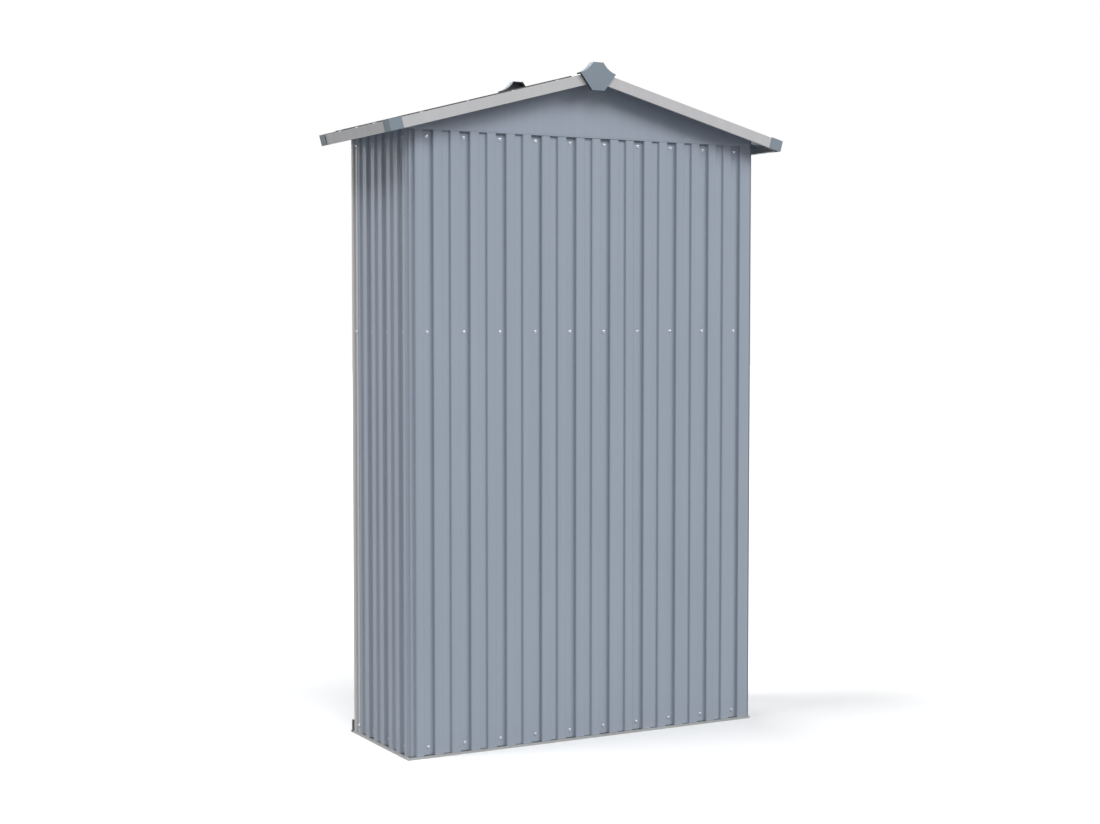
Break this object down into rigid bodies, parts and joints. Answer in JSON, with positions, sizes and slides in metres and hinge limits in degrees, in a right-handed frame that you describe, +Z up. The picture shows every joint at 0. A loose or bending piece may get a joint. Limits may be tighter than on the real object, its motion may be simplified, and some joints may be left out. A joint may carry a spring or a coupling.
{
  "type": "garden shed",
  "caption": "Tall shallow sheet-steel tool shed with ribbed walls, a low gable roof with white trims and plastic caps, and hinged double doors held by a barrel bolt.",
  "frame": {"origin": "on the ground below the middle of the shed's bounding box", "axes": "+Z up, the doors face -Y, +X is to the right for someone who faces the doors"},
  "size_m": [1.16, 0.463, 1.75],
  "materials": {
    "wall_paint": "satin blue-grey paint",
    "trim_paint": "satin off-white paint",
    "base_galvanised": "galvanised",
    "frame_galvanised": "galvanised",
    "cap_plastic": "moulded, matt",
    "hardware_steel": "zinc plated",
    "handle_plastic": "moulded, matt",
    "bolt_steel": "bright zinc"
  },
  "bodies": {
    "shed": {"front_corner_cap_left": "cap_plastic", "front_corner_cap_right": "cap_plastic", "front_gable": "wall_paint", "front_header": "frame_galvanised", "front_ridge_cap": "cap_plastic", "front_sill": "base_galvanised", "front_verge_trim_left": "trim_paint", "front_verge_trim_right": "trim_paint", "hinge_pins": "hardware_steel", "left_base_rail": "base_galvanised", "left_eave_trim": "trim_paint", "left_front_post": "trim_paint", "left_mid_rail": "frame_galvanised", "left_roof_panel": "wall_paint", "left_side_panel": "wall_paint", "left_top_rail": "frame_galvanised", "post_hinge_leaves": "hardware_steel", "rear_base_rail": "base_galvanised", "rear_corner_cap_left": "cap_plastic", "rear_corner_cap_right": "cap_plastic", "rear_gable": "wall_paint", "rear_mid_rail": "frame_galvanised", "rear_panel_left": "wall_paint", "rear_panel_middle": "wall_paint", "rear_panel_right": "wall_paint", "rear_ridge_cap": "cap_plastic", "rear_top_rail": "frame_galvanised", "rear_verge_trim_left": "trim_paint", "rear_verge_trim_right": "trim_paint", "rear_wall_bolts": "bolt_steel", "ridge_beam": "frame_galvanised", "ridge_strip": "wall_paint", "right_base_rail": "base_galvanised", "right_eave_trim": "trim_paint", "right_front_post": "trim_paint", "right_mid_rail": "frame_galvanised", "right_roof_panel": "wall_paint", "right_side_panel": "wall_paint", "right_top_rail": "frame_galvanised", "side_wall_bolts": "bolt_steel"},
    "right_door": {"latch_housing": "hardware_steel", "right_door_bottom_rail": "wall_paint", "right_door_brace": "wall_paint", "right_door_handle": "handle_plastic", "right_door_hinge_leaves": "hardware_steel", "right_door_hinge_stile": "wall_paint", "right_door_meeting_stile": "wall_paint", "right_door_panel": "wall_paint", "right_door_top_rail": "wall_paint"},
    "left_door": {"latch_keeper": "hardware_steel", "left_door_bottom_rail": "wall_paint", "left_door_brace": "wall_paint", "left_door_handle": "handle_plastic", "left_door_hinge_leaves": "hardware_steel", "left_door_hinge_stile": "wall_paint", "left_door_meeting_stile": "wall_paint", "left_door_panel": "wall_paint", "left_door_top_rail": "wall_paint"},
    "latch_bolt": {"latch_bolt": "hardware_steel"}
  },
  "joints": [
    {"name": "right_door_swing", "type": "hinge", "parent": "shed", "child": "right_door", "pos_m": [0.451, -0.1803, 0.8], "axis": [0, 0, 1], "range_deg": [0, 110]},
    {"name": "left_door_swing", "type": "hinge", "parent": "shed", "child": "left_door", "pos_m": [-0.451, -0.1803, 0.8], "axis": [0, 0, -1], "range_deg": [0, 110]},
    {"name": "latch_bolt_slide", "type": "slide", "parent": "right_door", "child": "latch_bolt", "axis": [-1, 0, 0], "range_m": [0, 0.028]}
  ]
}
